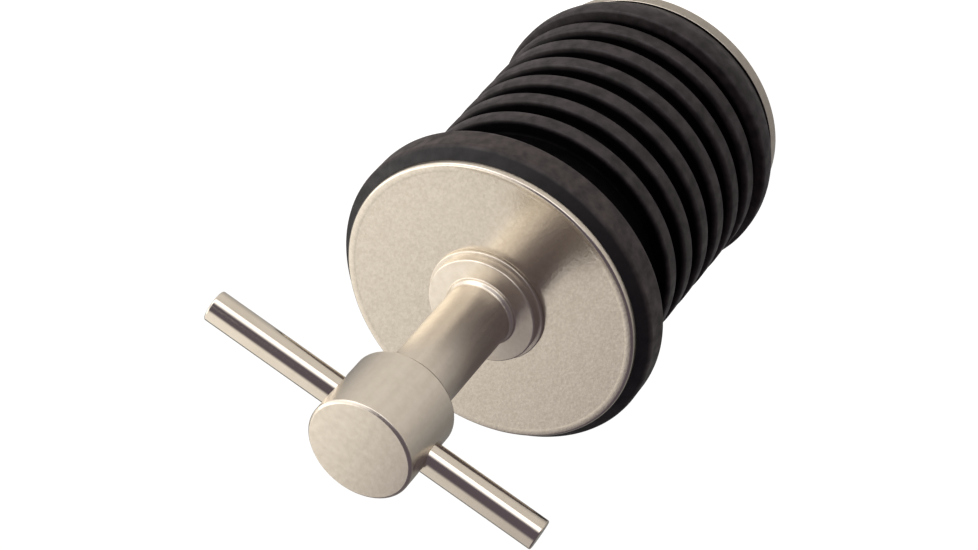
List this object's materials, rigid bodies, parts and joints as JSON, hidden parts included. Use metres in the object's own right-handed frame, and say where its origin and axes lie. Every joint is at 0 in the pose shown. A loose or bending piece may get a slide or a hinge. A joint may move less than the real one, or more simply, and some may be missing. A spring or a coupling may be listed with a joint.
{
  "type": "expanding drain plug with t-handle",
  "caption": "Expanding drain plug for a boat: a ribbed rubber sleeve squeezed between two stainless plates by a T-handled screw.",
  "frame": {"origin": "centre of the rear plate's outer face, on which the plug stands", "axes": "+Z along the spindle towards the handle, +X along the cross bar"},
  "size_m": [0.037, 0.0338, 0.0642],
  "materials": {
    "rubber": "satin moulded black rubber",
    "plate_steel": "fine satin stainless sheet",
    "turned_steel": "turned and tumbled stainless",
    "polished_steel": "drawn and polished stainless rod"
  },
  "bodies": {
    "plug": {"rubber_sleeve": "rubber", "front_plate": "plate_steel"},
    "handle": {"spindle": "turned_steel", "cross_bar": "polished_steel", "thrust_washer": "turned_steel"},
    "rear_clamp": {"rear_plate": "plate_steel", "rear_nut": "plate_steel"}
  },
  "joints": [
    {"name": "handle_turn", "type": "hinge", "parent": "plug", "child": "handle", "pos_m": [0, 0, 0.03895], "axis": [0, 0, -1], "range_deg": [0, 1170]},
    {"name": "rear_plate_draw", "type": "slide", "parent": "plug", "child": "rear_clamp", "axis": [0, 0, 1], "range_m": [0, 0.00413], "deforming": ["rubber_sleeve"]}
  ],
  "couplings": [
    {"joint": "rear_plate_draw", "follows": "handle_turn", "m_per_rad": 0.00020213}
  ]
}
